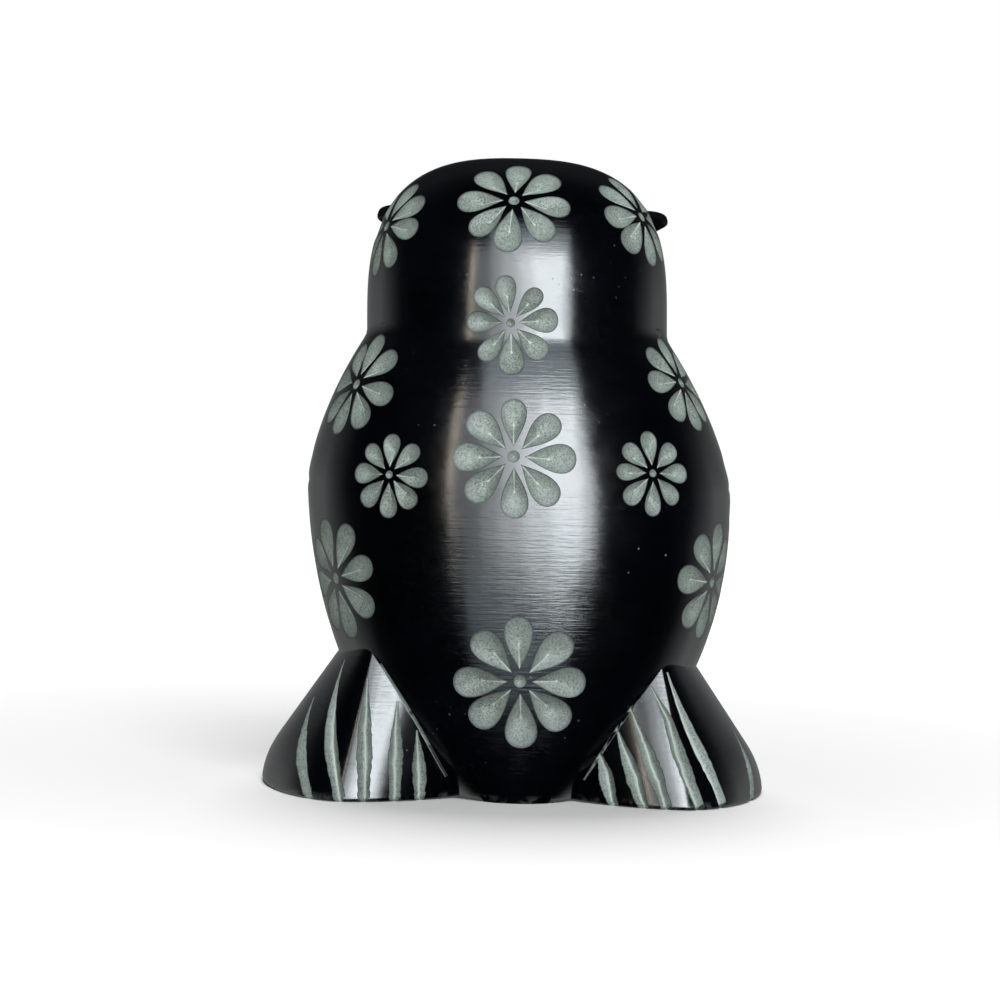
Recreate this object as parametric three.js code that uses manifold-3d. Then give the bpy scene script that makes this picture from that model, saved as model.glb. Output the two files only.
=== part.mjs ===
// A carved owl figurine in polished black stone, sitting on two flared, grooved lobes that form its base.
// Millimetres, +Z up. The face looks toward -Y and the flat underside lies on Z = 0.
// The figurine is carved from one block, so it is one solid: rounded masses joined, then the carving cut in.
import * as THREE from "three";
import { mergeVertices } from "three/addons/utils/BufferGeometryUtils.js";
import Module from "manifold-3d";

const wasm = await Module();
wasm.setup();

// Driving dimensions of the body and the head
const height = 75;
const bodyHalfWidth = 25.3;
const bodyBackDepth = 20;
const bodyFrontDepth = 18.5;
const headHalfWidth = 18;
const headBackDepth = 15.7;
const headFrontDepth = 16;
const hipShift = -0.45;
const headShift = 0.9;
const waistHeight = 0.473 * height;
const browHeight = 0.747 * height;
const leanStart = 0.2 * height;
const leanEnd = 0.85 * height;
const neckBlend = 1;

// Driving dimensions of the two base lobes
const baseHalfWidth = 30;
const lobeHeight = 20;
const lobeFoot = { edge: 31.9, middle: 19.1, halfDepth: 19.3 };
const lobeTop = { edge: 18.2, middle: 15.7, halfDepth: 11.6 };
const lobeInnerReach = 19.7;
const lobeCornerSoftness = 2;
const footRounding = 0.6;

// Driving dimensions of the carving
const petalCount = 8;
const petalDepth = 0.75;
const dimpleDepth = 0.45;
const grooveWidth = 1.7;
const grooveDepth = 0.85;
const wingEdgeWidth = 2.2;
const wingEdgeDepth = 1.1;
const toeCutWidth = 1.4;
const cutLift = 0.6;

// A petal's outline as shares of the flower's radius and of the petal's own length
const petalShape = { inner: 0.17, halfWidth: 0.22, widestAt: 0.7, deepestAt: 0.45, sharpness: 0.67 };
const dimpleShare = 0.1;

// Driving dimensions of the face and the feet
const eyeSpread = 7.6;
const eyeHeight = 0.84 * height;
const eyeRadius = 5;
const eyeRise = 1.5;
const sunkDepth = 2.5;
const pupilRadius = 1.5;
const eyeRingRadius = 6;
const eyeRingWidth = 1.5;
const beakWidth = 4.6;
const beakRise = 3.4;
const beakLength = 9.8;
const browWidth = 3;
const browRise = 1.6;
const leftTuftRise = 4.4;
const rightTuftRise = 5.6;
const tuftHeight = 0.92 * height;
const footSpread = 5.4;
const footSize = new THREE.Vector3(4.4, 5.5, 4.6);
const footForward = 14.5;
const toeTurn = 24;
const toeCutTop = 0.8;

// The brow runs from beside the beak, a little below the eye's middle, round to the ear tuft (in degrees)
const browSweep = { start: 5, end: 60, dip: 1 };

// How finely the rounded masses are divided
const bodySegments = 36;
const bodyRings = 16;
const headRings = 7;
const lobeSegments = 22;
const lobeRings = 7;
const ringSegments = 18;
const petalSides = 8;
const dimpleSides = 6;
const ridgeStations = 6;

// Limits: corners closer than this are one, and the span searched above and below a tangent plane
const mergeDistance = 1e-4;
const searchSpan = { above: 3, below: -7, halvings: 30 };
const crownRadius = 0.05;
const lookAhead = 0.02;

// Where along a groove its sections stand, from just past its tip, and how full it is at its tip
const grooveStations = [0.04, 0.2, 0.45, 0.7, 0.9, 1.04];
const grooveTip = 0.25;

// Limits for closing up slivers: how far out of plane, how small and how much turned (radians)
const flatness = 0.02;
const sliverArea = 0.002;
const turnLimit = 0.15;

// Superellipse powers: 2 is a plain ellipse, more is squarer and less is more pointed
const backPower = 2.2;
const frontPower = 2.5;
const shoulderPower = 1.5;
const hipPower = 2;
const lobePower = 1.75;

// For each direction: sizes of body and head, the body curve's reach up and down, and the crown's power
const profiles = {
  side: { body: bodyHalfWidth, head: headHalfWidth, up: 0.445 * height, down: 0.507 * height, crown: 2.8 },
  back: { body: bodyBackDepth, head: headBackDepth, up: 0.501 * height, down: 0.899 * height, crown: 2.2 },
  front: { body: bodyFrontDepth, head: headFrontDepth, up: 0.533 * height, down: 0.8 * height, crown: 2.4 },
};

const degrees = THREE.MathUtils.degToRad;
const frontTurn = Math.PI;

// Flowers: turn about Z from the back toward +X and spin in degrees, height as a share of the whole
const flowers = [
  { turn: 3, rise: 0.911, radius: 6.5, spin: 4 },
  { turn: 3, rise: 0.721, radius: 5, spin: -3 },
  { turn: 2, rise: 0.519, radius: 6.6, spin: -1 },
  { turn: 0, rise: 0.186, radius: 7.4, spin: -1 },
  { turn: 41, rise: 0.488, radius: 4.7, spin: 1 },
  { turn: -42, rise: 0.5, radius: 4.7, spin: -1 },
  { turn: 62, rise: 0.627, radius: 6.5, spin: 10 },
  { turn: -66, rise: 0.643, radius: 6.2, spin: 0 },
  { turn: 64, rise: 0.327, radius: 7, spin: -12 },
  { turn: -68, rise: 0.335, radius: 6.8, spin: 3 },
  { turn: 68, rise: 0.878, radius: 6.2, spin: 8 },
  { turn: -65, rise: 0.902, radius: 6.2, spin: 0 },
  { turn: 93, rise: 0.48, radius: 5.6, spin: 0 },
  { turn: -91, rise: 0.48, radius: 5.6, spin: 0 },
  { turn: -118, rise: 0.986, radius: 5.6, spin: 12 },
  { turn: 180, rise: 0.548, radius: 6, spin: 0 },
  { turn: 180, rise: 0.32, radius: 6.6, spin: 0 },
  { turn: 108, rise: 0.3, radius: 5.8, spin: 0 },
  { turn: -108, rise: 0.3, radius: 5.8, spin: 0 },
];

// Grooves on the back of each lobe: turn and share of the lobe's height at the tip, and turn at the foot
const backGrooves = {
  left: [
    { turn: 58, rise: 0.53, foot: 23 },
    { turn: 44, rise: 0.76, foot: 1 },
    { turn: 0, rise: 0.68, foot: -9 },
    { turn: -14, rise: 0.55, foot: -20 },
    { turn: -23, rise: 0.39, foot: -29 },
  ],
  right: [
    { turn: 67, rise: 0.38, foot: 54 },
    { turn: 10, rise: 0.75, foot: 29 },
    { turn: -6, rise: 0.67, foot: 13 },
    { turn: -15, rise: 0.55, foot: -7 },
    { turn: -21, rise: 0.44, foot: -16 },
    { turn: -29, rise: 0.32, foot: -26 },
  ],
};

// The hidden front of each lobe carries an even fan of the same grooves
const frontGrooveCount = 5;
const frontFan = { firstTurn: 158, lastTurn: 118, firstRise: 0.42, lastRise: 0.72, spread: 6 };

// Wing edges: a long cut down each side of the breast, from the shoulder in to the lobe
const wingEdge = { startTurn: 122, startRise: 0.62, endTurn: 146, endRise: 0.2, bow: 12 };

function arch(distance, size, reach, power) {
  const share = Math.min(Math.abs(distance) / reach, 1);
  return size * (1 - share ** power) ** (1 / power);
}

function signedPower(value, power) {
  return Math.sign(value) * Math.abs(value) ** power;
}

function blend(a, b, width) {
  const overlap = Math.max(width - Math.abs(a - b), 0) / width;
  return (overlap * overlap * width) / 4;
}

// Half size of the body at a height: an egg below, a taller rounded head above, softly joined at the neck
function halfSize(profile, z) {
  const above = z - waistHeight;
  const egg = above > 0
    ? arch(above, profile.body, profile.up, shoulderPower)
    : arch(above, profile.body, profile.down, hipPower);
  const head = arch(Math.max(z - browHeight, 0), profile.head, height - browHeight, profile.crown);
  return z > waistHeight ? Math.max(egg, head) + blend(egg, head, neckBlend) : egg;
}

// The body leans a little: the hips sit to one side of the middle and the head to the other
function sideShift(z) {
  return THREE.MathUtils.lerp(hipShift, headShift, THREE.MathUtils.smoothstep(z, leanStart, leanEnd));
}

function bodyRadius(turn, z) {
  const across = Math.abs(Math.sin(turn)) / Math.max(halfSize(profiles.side, z), 1e-6);
  const isBack = Math.cos(turn) > 0;
  const profile = isBack ? profiles.back : profiles.front;
  const power = isBack ? backPower : frontPower;
  const along = Math.abs(Math.cos(turn)) / Math.max(halfSize(profile, z), 1e-6);
  return (across ** power + along ** power) ** (-1 / power);
}

function bodyPoint(turn, z) {
  const radius = bodyRadius(turn, z);
  return new THREE.Vector3(sideShift(z) + radius * Math.sin(turn), radius * Math.cos(turn), z);
}

function insideBody(point) {
  if (point.z >= height) return false;
  const x = point.x - sideShift(point.z);
  return Math.hypot(x, point.y) < bodyRadius(Math.atan2(x, point.y), point.z);
}

// A lobe tapers from its foot to its top, and its flared edge ends at the base's width in a soft corner
function lobePoint(side, turn, z) {
  const taper = (key) => THREE.MathUtils.lerp(lobeFoot[key], lobeTop[key], z / lobeHeight);
  const edge = taper("edge");
  const outer = Math.min(edge, baseHalfWidth) - blend(edge, baseHalfWidth, lobeCornerSoftness);
  const rounding = Math.max(footRounding - z, 0);
  const middle = taper("middle");
  const reach = (Math.sin(turn) > 0 ? outer - middle : lobeInnerReach) - rounding;
  const x = middle + reach * signedPower(Math.sin(turn), 2 / lobePower);
  const y = (taper("halfDepth") - rounding) * signedPower(Math.cos(turn), 2 / lobePower);
  return new THREE.Vector3(side * x, y, z);
}

// Local frame on a surface given by turn and height: outward, up, and right as seen from outside
function frameOn(surface, turn, z) {
  const step = 0.02;
  const origin = surface(turn, z);
  const alongTurn = surface(turn + step, z).sub(surface(turn - step, z));
  const alongHeight = surface(turn, Math.min(z + step, height - step)).sub(surface(turn, z - step));
  const outward = alongHeight.clone().cross(alongTurn).normalize();
  if (outward.dot(new THREE.Vector3(origin.x, origin.y, 0)) < 0) outward.negate();
  const right = new THREE.Vector3(0, 0, 1).cross(outward).normalize();
  const up = outward.clone().cross(right).normalize();
  return { origin, outward, up, right };
}

function place(frame, across, upward, lift) {
  return frame.origin.clone()
    .addScaledVector(frame.right, across)
    .addScaledVector(frame.up, upward)
    .addScaledVector(frame.outward, lift);
}

// The point on the body straight below or above a point of the frame's tangent plane
function dropToBody(frame, across, upward) {
  let high = searchSpan.above;
  let low = searchSpan.below;
  for (let step = 0; step < searchSpan.halvings; step += 1) {
    const middle = (high + low) / 2;
    if (insideBody(place(frame, across, upward, middle))) low = middle;
    else high = middle;
  }
  return place(frame, across, upward, low);
}

function cornersOf({ attributes: { position } }) {
  const corner = (id) => new THREE.Vector3().fromBufferAttribute(position, id);
  return Array.from({ length: position.count }, (_, id) => corner(id));
}

function facesOf({ index }) {
  const face = (id) => [index.getX(3 * id), index.getX(3 * id + 1), index.getX(3 * id + 2)];
  const all = Array.from({ length: index.count / 3 }, (_, id) => face(id));
  return all.filter((corners) => new Set(corners).size === 3);
}

// A closed solid from any closed geometry: shared corners merged and the faces turned outward
function toSolid(geometry) {
  const bare = new THREE.BufferGeometry();
  bare.setAttribute("position", geometry.attributes.position);
  bare.setIndex(geometry.index);
  const merged = mergeVertices(bare, mergeDistance);
  const corners = cornersOf(merged);
  const faces = facesOf(merged);
  const volume = faces.reduce(
    (total, [a, b, c]) => total + corners[a].dot(corners[b].clone().cross(corners[c])),
    0,
  );
  const outward = volume < 0 ? faces.map(([a, b, c]) => [a, c, b]) : faces;
  return new wasm.Manifold(new wasm.Mesh({
    numProp: 3,
    vertProperties: new Float32Array(merged.attributes.position.array),
    triVerts: new Uint32Array(outward.flat()),
  }));
}

function toGeometry(solid) {
  const mesh = solid.getMesh();
  const geometry = new THREE.BufferGeometry();
  geometry.setAttribute("position", new THREE.BufferAttribute(new Float32Array(mesh.vertProperties), 3));
  geometry.setIndex(new THREE.BufferAttribute(new Uint32Array(mesh.triVerts), 1));
  return geometry;
}

function geometryFrom(points, faces) {
  const geometry = new THREE.BufferGeometry().setFromPoints(points);
  geometry.setIndex(faces.flat());
  return geometry;
}

// A closed solid through rings of points, ended by a fan at each end
function loft(rings) {
  const count = rings[0].length;
  const points = rings.flat();
  const faces = [];
  for (let ring = 0; ring + 1 < rings.length; ring += 1) {
    for (let index = 0; index < count; index += 1) {
      const next = (index + 1) % count;
      const low = ring * count;
      const high = low + count;
      faces.push([low + index, low + next, high + next], [low + index, high + next, high + index]);
    }
  }
  const start = points.push(centreOf(rings[0])) - 1;
  const end = points.push(centreOf(rings.at(-1))) - 1;
  const lastRing = (rings.length - 1) * count;
  for (let index = 0; index < count; index += 1) {
    const next = (index + 1) % count;
    faces.push([start, next, index], [end, lastRing + index, lastRing + next]);
  }
  return toSolid(geometryFrom(points, faces));
}

function centreOf(points) {
  const sum = points.reduce((total, point) => total.add(point), new THREE.Vector3());
  return sum.divideScalar(points.length);
}

function evenly(count, pick) {
  return Array.from({ length: count }, (_, index) => pick(index / count));
}

function makeBody() {
  const heights = [];
  for (let ring = 0; ring < bodyRings; ring += 1) heights.push((browHeight * ring) / bodyRings);
  for (let ring = 0; ring < headRings; ring += 1) {
    const quarter = (ring / headRings) * (Math.PI / 2);
    heights.push(browHeight + (height - browHeight) * Math.sin(quarter) ** (2 / profiles.back.crown));
  }
  const rings = heights.map((z) => evenly(bodySegments, (share) => bodyPoint(share * 2 * Math.PI, z)));
  rings.push(evenly(bodySegments, (share) => {
    const turn = share * 2 * Math.PI;
    return new THREE.Vector3(sideShift(height) + crownRadius * Math.sin(turn), crownRadius * Math.cos(turn), height);
  }));
  return loft(rings);
}

function makeLobe(side) {
  const heights = [0, footRounding];
  for (let ring = 1; ring <= lobeRings - 2; ring += 1) {
    heights.push(footRounding + ((lobeHeight - footRounding) * ring) / (lobeRings - 2));
  }
  return loft(heights.map((z) => evenly(lobeSegments, (share) => lobePoint(side, share * 2 * Math.PI, z))));
}

// A petal is a hollow cut with its deepest point nearer the flower's middle, under a teardrop outline
function petalCut(frame, radius, angle) {
  const { widestAt, sharpness } = petalShape;
  const inner = petalShape.inner * radius;
  const length = radius - inner;
  const fullness = (along) => Math.sqrt(Math.max(along * (1 - along), 0)) * along ** sharpness;
  const at = (along, aside) => dropToBody(
    frame,
    along * Math.sin(angle) + aside * Math.cos(angle),
    along * Math.cos(angle) - aside * Math.sin(angle),
  );
  const deepest = at(inner + petalShape.deepestAt * length, 0).addScaledVector(frame.outward, -petalDepth);
  const widen = 1 + cutLift / petalDepth;
  const rim = evenly(petalSides, (share) => {
    const round = share * 2 * Math.PI;
    const along = (1 - Math.cos(round)) / 2;
    const swell = (fullness(along) / fullness(widestAt)) * Math.sign(Math.sin(round));
    const edge = at(inner + along * length, petalShape.halfWidth * radius * swell);
    return edge.sub(deepest).multiplyScalar(widen).add(deepest);
  });
  const lid = deepest.clone().addScaledVector(frame.outward, petalDepth + 2 * cutLift);
  return coneFrom(deepest, rim, lid);
}

function coneFrom(tip, rim, lid) {
  const points = [...rim, tip, lid];
  const faces = rim.flatMap((_, index) => {
    const next = (index + 1) % rim.length;
    return [[index, next, rim.length + 1], [next, index, rim.length]];
  });
  return toSolid(geometryFrom(points, faces));
}

function dimpleCut(frame, radius) {
  const rimRadius = dimpleShare * radius * (1 + cutLift / dimpleDepth);
  const rim = evenly(dimpleSides, (share) => {
    const round = share * 2 * Math.PI;
    return place(frame, rimRadius * Math.sin(round), rimRadius * Math.cos(round), cutLift);
  });
  return coneFrom(place(frame, 0, 0, -dimpleDepth), rim, place(frame, 0, 0, cutLift));
}

function flowerCuts({ turn, rise, radius, spin }) {
  const frame = frameOn(bodyPoint, degrees(turn), rise * height);
  const petals = evenly(petalCount, (share) => petalCut(frame, radius, share * 2 * Math.PI + degrees(spin)));
  return [...petals, dimpleCut(frame, radius)];
}

// A leaf-shaped V cut that follows a line on a surface; it is widest at two thirds of its length
function grooveCut(surface, line, width, depth) {
  const lowest = footRounding / 2;
  const rings = grooveStations.map((share) => {
    const { turn, z } = line(share);
    const frame = frameOn(surface, turn, Math.max(z, lowest));
    const ahead = line(share + lookAhead);
    const travel = surface(ahead.turn, Math.max(ahead.z, 0)).sub(surface(turn, Math.max(z, lookAhead)));
    const across = travel.cross(frame.outward).normalize();
    const fullness = grooveTip + (1 - grooveTip) * Math.sin(Math.PI * Math.min(share, 0.8) ** 1.4);
    const sunk = depth * fullness;
    const half = (width / 2) * fullness * (1 + cutLift / sunk);
    const start = frame.origin.clone().setZ(Math.min(frame.origin.z, z));
    return [[-half, cutLift], [half, cutLift], [0, -sunk]].map(([aside, lift]) => start.clone()
      .addScaledVector(across, aside)
      .addScaledVector(frame.outward, lift));
  });
  return loft(rings);
}

function lobeGroove(side, { turn, rise, foot }) {
  const top = rise * lobeHeight;
  const line = (share) => ({ turn: degrees(turn + (foot - turn) * share), z: top * (1 - share) });
  return grooveCut((angle, z) => lobePoint(side, angle, z), line, grooveWidth, grooveDepth);
}

function frontLobeGrooves(side) {
  return evenly(frontGrooveCount, (share) => {
    const step = (share * frontGrooveCount) / (frontGrooveCount - 1);
    const turn = THREE.MathUtils.lerp(frontFan.firstTurn, frontFan.lastTurn, step);
    const rise = THREE.MathUtils.lerp(frontFan.firstRise, frontFan.lastRise, step);
    return lobeGroove(side, { turn, rise, foot: turn + frontFan.spread });
  });
}

function wingCut(side) {
  const line = (share) => ({
    turn: side * degrees(
      THREE.MathUtils.lerp(wingEdge.startTurn, wingEdge.endTurn, share)
      - wingEdge.bow * Math.sin(Math.PI * share),
    ),
    z: height * THREE.MathUtils.lerp(wingEdge.startRise, wingEdge.endRise, share),
  });
  return grooveCut(bodyPoint, line, wingEdgeWidth, wingEdgeDepth);
}

// A raised ridge along a line on the body: it stands out level, with rounded sections sunk into the body
function makeRidge(line, sectionAt) {
  const rings = evenly(ridgeStations, (share) => {
    const t = (share * ridgeStations) / (ridgeStations - 1);
    const { turn, z } = line(t);
    const frame = frameOn(bodyPoint, turn, z);
    const outward = frame.outward.setZ(0).normalize();
    const ahead = line(t + lookAhead);
    const travel = bodyPoint(ahead.turn, ahead.z).sub(frame.origin).normalize();
    const across = travel.clone().cross(outward).normalize();
    const { width, rise, lean } = sectionAt(t);
    const half = [[1, -sunkDepth], [1, 0], [0.8, 0.85 * rise]];
    const mirrored = half.map(([aside, lift]) => [-aside, lift]);
    return [...mirrored, [0, rise], ...half.reverse()].map(([aside, lift]) => frame.origin.clone()
      .addScaledVector(across, (aside * width) / 2)
      .addScaledVector(outward, lift)
      .addScaledVector(travel, Math.max(lift, 0) * lean));
  });
  return loft(rings);
}

function makeBrow(side) {
  const tuftRise = side > 0 ? leftTuftRise : rightTuftRise;
  const line = (t) => ({
    turn: frontTurn - side * degrees(THREE.MathUtils.lerp(browSweep.start, browSweep.end, t)),
    z: THREE.MathUtils.lerp(eyeHeight - browSweep.dip, tuftHeight, t ** 0.8),
  });
  return makeRidge(line, (t) => ({
    width: browWidth * (0.55 + 0.45 * t),
    rise: THREE.MathUtils.lerp(browRise, tuftRise, t ** 2),
    lean: 0.3 * t,
  }));
}

function makeBeak() {
  const line = (t) => ({ turn: frontTurn, z: eyeHeight + browSweep.dip - beakLength * t });
  return makeRidge(line, (t) => ({
    width: beakWidth * (0.35 + Math.sin(Math.PI * t ** 0.9)) * 0.75,
    rise: beakRise * (0.35 + 0.65 * Math.sin(Math.PI * t ** 1.2 * 0.82)),
    lean: 0.5 * t,
  }));
}

// Round carving about an outward axis is turned from a profile of radius and lift
function turned(frame, profile) {
  const points = profile.map(([radius, lift]) => new THREE.Vector2(radius, lift));
  const axes = new THREE.Matrix4().makeBasis(frame.right, frame.outward, frame.up.clone().negate());
  return toSolid(new THREE.LatheGeometry(points, ringSegments).applyMatrix4(axes.setPosition(frame.origin)));
}

function eyeFrame(side) {
  const turn = frontTurn - side * Math.asin(eyeSpread / headHalfWidth);
  return frameOn(bodyPoint, turn, eyeHeight);
}

function makeEye(side) {
  return turned(eyeFrame(side), [
    [0, -sunkDepth],
    [eyeRadius, -sunkDepth],
    [eyeRadius, 0],
    [0.8 * eyeRadius, 0.7 * eyeRise],
    [pupilRadius, eyeRise],
    [0, eyeRise - pupilRadius],
  ]);
}

function eyeRingCut(side) {
  return turned(eyeFrame(side), [
    [eyeRingRadius, -grooveDepth],
    [eyeRingRadius + eyeRingWidth, 2 * cutLift],
    [eyeRingRadius - eyeRingWidth, 2 * cutLift],
    [eyeRingRadius, -grooveDepth],
  ]);
}

function makeFoot(side) {
  const ball = new THREE.SphereGeometry(1, 14, 9);
  ball.rotateX(Math.PI / 2);
  ball.scale(footSize.x, footSize.y, footSize.z);
  ball.translate(side * footSpread, -footForward, 0);
  return toSolid(ball);
}

function toeCuts(side) {
  const toe = (angle, z) => new THREE.Vector3(
    side * footSpread + footSize.x * Math.cos(z / footSize.z) * Math.sin(angle),
    -footForward - footSize.y * Math.cos(z / footSize.z) * Math.cos(angle),
    z,
  );
  return [-1, 1].map((step) => {
    const line = (share) => ({ turn: degrees(toeTurn * step), z: toeCutTop * footSize.z * (1 - share) });
    return grooveCut(toe, line, toeCutWidth, grooveDepth);
  });
}

function groundCut() {
  const size = 3 * baseHalfWidth;
  return toSolid(new THREE.BoxGeometry(size, size, size).translate(0, 0, -size / 2));
}

// A crumb that the cuts set free falls away
function largestOf(pieces) {
  return pieces.reduce((largest, piece) => (piece.volume() > largest.volume() ? piece : largest));
}

function carveOwl() {
  const sides = [1, -1];
  const masses = [
    ...sides.map(makeLobe),
    ...sides.map(makeFoot),
    ...sides.map(makeBrow),
    makeBeak(),
  ];
  const cuts = [
    ...flowers.flatMap(flowerCuts),
    ...backGrooves.left.map((groove) => lobeGroove(1, groove)),
    ...backGrooves.right.map((groove) => lobeGroove(-1, groove)),
    ...sides.flatMap(frontLobeGrooves),
    ...sides.map(wingCut),
    ...sides.flatMap(toeCuts),
    groundCut(),
  ];
  let solid = sides.map(eyeRingCut).reduce((left, cut) => left.subtract(cut), makeBody());
  solid = [...masses, ...sides.map(makeEye)].reduce((left, mass) => left.add(mass), solid);
  const carved = cuts.reduce((left, cut) => left.subtract(cut), solid);
  return largestOf(carved.decompose());
}

// Slivers left by the cuts are closed up: a corner slides along an edge to the edge's other end,
// where that keeps the skin closed and every face about it within the flatness limit
function closeSlivers(geometry) {
  const points = cornersOf(geometry);
  const faces = facesOf(geometry);
  const facesAt = points.map(() => new Set());
  faces.forEach((face, id) => face.forEach((corner) => facesAt[corner].add(id)));
  const neighbours = (corner) => {
    const near = [...facesAt[corner]].flatMap((id) => faces[id]);
    return new Set(near.filter((other) => other !== corner));
  };
  const normalOf = ([a, b, c]) => points[b].clone().sub(points[a]).cross(points[c].clone().sub(points[a]));

  function canSlide(from, to) {
    if (points[from].z < flatness && points[to].z > 0) return false;
    const nearTo = neighbours(to);
    const common = [...neighbours(from)].filter((corner) => nearTo.has(corner));
    if (common.length !== 2) return false;
    const move = points[to].clone().sub(points[from]);
    return [...facesAt[from]].filter((id) => !faces[id].includes(to)).every((id) => {
      const before = normalOf(faces[id]);
      const after = normalOf(faces[id].map((corner) => (corner === from ? to : corner)));
      if (after.length() < sliverArea) return false;
      if (before.length() < sliverArea) return move.length() < flatness;
      return Math.abs(before.clone().normalize().dot(move)) < flatness && before.angleTo(after) < turnLimit;
    });
  }

  function slide(from, to) {
    for (const id of facesAt[from]) {
      if (faces[id].includes(to)) {
        faces[id].filter((corner) => corner !== from).forEach((corner) => facesAt[corner].delete(id));
        faces[id] = null;
      } else {
        faces[id] = faces[id].map((corner) => (corner === from ? to : corner));
        facesAt[to].add(id);
      }
    }
    facesAt[from].clear();
  }

  let changed = true;
  while (changed) {
    changed = false;
    const edges = faces.filter(Boolean).flatMap(([a, b, c]) => [[a, b], [b, c], [c, a]]);
    const lengthOf = ([a, b]) => points[a].distanceTo(points[b]);
    const measured = edges.map((edge) => ({ edge, length: lengthOf(edge) }));
    measured.sort((one, other) => one.length - other.length);
    for (const { edge: [from, to] } of measured) {
      if (neighbours(from).has(to) && canSlide(from, to)) {
        slide(from, to);
        changed = true;
      }
    }
  }
  return geometryFrom(points, faces.filter(Boolean));
}

const polishedStone = new THREE.MeshStandardMaterial({ color: 0x08090b, roughness: 0.22, metalness: 0 });
const owl = new THREE.Mesh(closeSlivers(toGeometry(carveOwl())), polishedStone);
owl.name = "owl";

const figurine = new THREE.Group();
figurine.add(owl);

export default figurine;
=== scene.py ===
"""A carved owl figurine in polished black soapstone, seen from behind on a pale floor.

The solid's form is built again at a fine resolution: smooth masses are joined, and petals, grooves
and scratches are cut into them, so that every cut shows the rough grey-green stone under the polish.
"""
import math

import bmesh
import bpy
import numpy as np
from mathutils import Matrix, Vector
from mathutils.bvhtree import BVHTree
from mathutils.kdtree import KDTree


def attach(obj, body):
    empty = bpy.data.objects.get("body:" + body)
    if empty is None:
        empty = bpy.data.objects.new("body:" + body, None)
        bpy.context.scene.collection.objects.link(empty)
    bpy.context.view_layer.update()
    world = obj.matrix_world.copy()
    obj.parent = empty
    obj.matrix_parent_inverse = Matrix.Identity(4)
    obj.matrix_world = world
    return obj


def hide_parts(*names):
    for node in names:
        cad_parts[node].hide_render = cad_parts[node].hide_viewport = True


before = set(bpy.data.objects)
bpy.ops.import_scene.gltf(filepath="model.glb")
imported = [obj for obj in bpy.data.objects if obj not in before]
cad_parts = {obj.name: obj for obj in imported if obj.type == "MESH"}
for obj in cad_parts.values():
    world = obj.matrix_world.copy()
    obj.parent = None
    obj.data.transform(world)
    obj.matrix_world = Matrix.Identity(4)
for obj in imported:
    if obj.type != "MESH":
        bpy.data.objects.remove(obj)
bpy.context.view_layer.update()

MM = 0.001
TURN = 2 * math.pi

# Body and head, in millimetres, as in the solid
HEIGHT = 75.0
HIP_SHIFT = -0.45
HEAD_SHIFT = 0.9
WAIST = 0.473 * HEIGHT
BROW = 0.747 * HEIGHT
LEAN = (0.2 * HEIGHT, 0.85 * HEIGHT)
NECK_BLEND = 0.35
BACK_POWER = 2.2
FRONT_POWER = 2.5
SHOULDER_POWER = 1.5
HIP_POWER = 2.0
PROFILES = {
    "side": {"body": 25.3, "head": 18.0, "up": 0.445 * HEIGHT, "down": 0.507 * HEIGHT, "crown": 2.8},
    "back": {"body": 20.0, "head": 15.7, "up": 0.501 * HEIGHT, "down": 0.899 * HEIGHT, "crown": 2.2},
    "front": {"body": 18.5, "head": 16.0, "up": 0.533 * HEIGHT, "down": 0.8 * HEIGHT, "crown": 2.4},
}

# Base lobes
BASE_HALF_WIDTH = 30.0
LOBE_HEIGHT = 20.0
LOBE_FOOT = {"edge": 31.9, "middle": 19.1, "depth": 19.3}
LOBE_TOP = {"edge": 18.2, "middle": 15.7, "depth": 11.6}
LOBE_INNER_REACH = 19.7
LOBE_CORNER = 2.0
LOBE_POWER = 1.75
FOOT_ROUNDING = 0.6

# Face and feet
EYE = {"spread": 7.6, "height": 0.84 * HEIGHT, "radius": 5.0, "rise": 1.5, "pupil": 1.5}
EYE_DOME = {"power": 2.6, "rim": 0.1, "pit_depth": 1.2, "pit_steps": (0.25, 0.5, 0.75, 0.95)}
EYE_RING = {"radius": 6.0, "half_width": 0.9, "depth": 0.85}
BEAK = {"width": 4.6, "rise": 3.4, "length": 9.8}
BROW_RIDGE = {"width": 3.0, "rise": 1.6, "tuft_height": 0.92 * HEIGHT, "start": 5.0, "end": 60.0, "dip": 1.0}
BROW_SHAPE = {"climb": 0.8, "inner_width": 0.55, "lean": 0.3}
TUFT_RISE = {1: 4.4, -1: 5.6}
SUNK = 2.5
RIDGE_SQUARE = 0.7
RIDGE_STATIONS = 26
TOES = {"spread": 5.4, "size": (4.4, 5.5, 4.6), "forward": 14.5, "turn": 24.0, "cut_top": 0.8}

# Carving
PETALS = 8
PETAL_DEPTH = 0.75
PLUMP = 1.05
# How far to each side of a petal's middle line its painted highlight reaches
VALLEY_HIGHLIGHT_SPREAD = math.cos(math.radians(48))
PETAL = {"inner": 0.17, "half_width": 0.22, "widest": 0.7, "deepest": 0.45, "sharpness": 0.67}
DIMPLE = {"share": 0.1, "depth": 0.45}
GROOVE = {"width": 1.85, "depth": 0.85, "tip": 0.14}
CUT_LIFT = 0.35

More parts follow.
